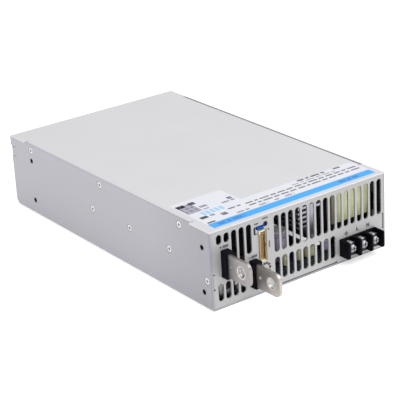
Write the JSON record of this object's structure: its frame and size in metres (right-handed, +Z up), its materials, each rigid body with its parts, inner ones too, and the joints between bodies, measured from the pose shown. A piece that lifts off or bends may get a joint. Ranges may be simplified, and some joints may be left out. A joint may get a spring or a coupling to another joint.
{
  "type": "enclosed switching power supply",
  "caption": "Enclosed switching power supply in a folded sheet-metal case with a slotted front panel, two output bars, a mains terminal block and rear fans.",
  "frame": {"origin": "centre of the case's underside", "axes": "+X to the right seen from the front, +Y from the front panel to the rear, +Z up"},
  "size_m": [0.171, 0.3224, 0.0636],
  "materials": {
    "zinc_sheet": "satin zinc-coated sheet",
    "plated_steel": "bright zinc plating",
    "nickel_copper": "nickel-plated copper",
    "bright_plate": "bright nickel plating",
    "black_plastic": "moulded",
    "ivory_plastic": "moulded",
    "gold_pins": "gold flash",
    "blue_plastic": "moulded",
    "dark_blue_plastic": "moulded",
    "lamp": "tinted resin",
    "board": "glass-fibre board with lacquer",
    "film": "polyester film",
    "brass": "turned",
    "aluminium": "extruded",
    "package_plastic": "moulded",
    "capacitor_box": "moulded box",
    "can_sleeve": "shrunk sleeve on a can",
    "yellow_tape": "polyester tape",
    "ferrite": "ground ferrite",
    "copper_wire": "enamelled winding",
    "ceramic": "ceramic tube with plated caps",
    "label": "printed film",
    "lead_sleeve": "sleeved pair of wires"
  },
  "bodies": {
    "case": {"chassis": "zinc_sheet", "cover": "zinc_sheet", "front_panel": "zinc_sheet", "cover_screws": "plated_steel", "heat_sink_screws": "plated_steel", "panel_screws": "plated_steel", "mounting_nuts": "plated_steel", "positive_bar": "nickel_copper", "negative_bar": "nickel_copper", "positive_bushing": "black_plastic", "negative_bushing": "black_plastic", "bar_bolts": "plated_steel", "terminal_block": "black_plastic", "terminal_plates": "bright_plate", "terminal_washers": "bright_plate", "terminal_screws": "bright_plate", "control_board": "board", "signal_connector": "ivory_plastic", "connector_pins": "gold_pins", "trimmer_body": "blue_plastic", "status_lamp": "lamp", "sounder": "black_plastic", "insulation_film": "film", "main_board": "board", "board_standoffs": "brass", "board_screws": "plated_steel", "left_heat_sink": "aluminium", "right_heat_sink": "aluminium", "centre_heat_sink": "aluminium", "transistors": "package_plastic", "bridge_rectifiers": "package_plastic", "film_capacitors": "capacitor_box", "mains_capacitors": "capacitor_box", "output_capacitors": "can_sleeve", "bulk_capacitors": "can_sleeve", "line_choke_coil": "yellow_tape", "line_choke_core": "ferrite", "line_choke_base": "package_plastic", "boost_choke_core": "ferrite", "boost_choke_coil": "yellow_tape", "transformer_core": "ferrite", "transformer_coil": "yellow_tape", "output_chokes": "copper_wire", "inrush_relay": "package_plastic", "line_fuse": "ceramic", "fuse_clips": "bright_plate", "fan_headers": "ivory_plastic", "fan_screws": "plated_steel", "rating_label": "label", "left_fan_frame": "black_plastic", "right_fan_frame": "black_plastic", "left_fan_stator": "copper_wire", "right_fan_stator": "copper_wire", "left_fan_lead": "lead_sleeve", "right_fan_lead": "lead_sleeve"},
    "left_fan": {"left_fan_rotor": "black_plastic"},
    "right_fan": {"right_fan_rotor": "black_plastic"},
    "trimmer": {"trimmer_rotor": "dark_blue_plastic"}
  },
  "joints": [
    {"name": "left_fan_spin", "type": "hinge", "parent": "case", "child": "left_fan", "pos_m": [-0.042, 0.1199, 0.032], "axis": [0, 1, 0], "continuous": true},
    {"name": "right_fan_spin", "type": "hinge", "parent": "case", "child": "right_fan", "pos_m": [0.042, 0.1199, 0.032], "axis": [0, 1, 0], "continuous": true},
    {"name": "trimmer_turn", "type": "hinge", "parent": "case", "child": "trimmer", "pos_m": [-0.0341, -0.145, 0.0555], "axis": [0, -1, 0], "range_deg": [-135, 135]}
  ]
}
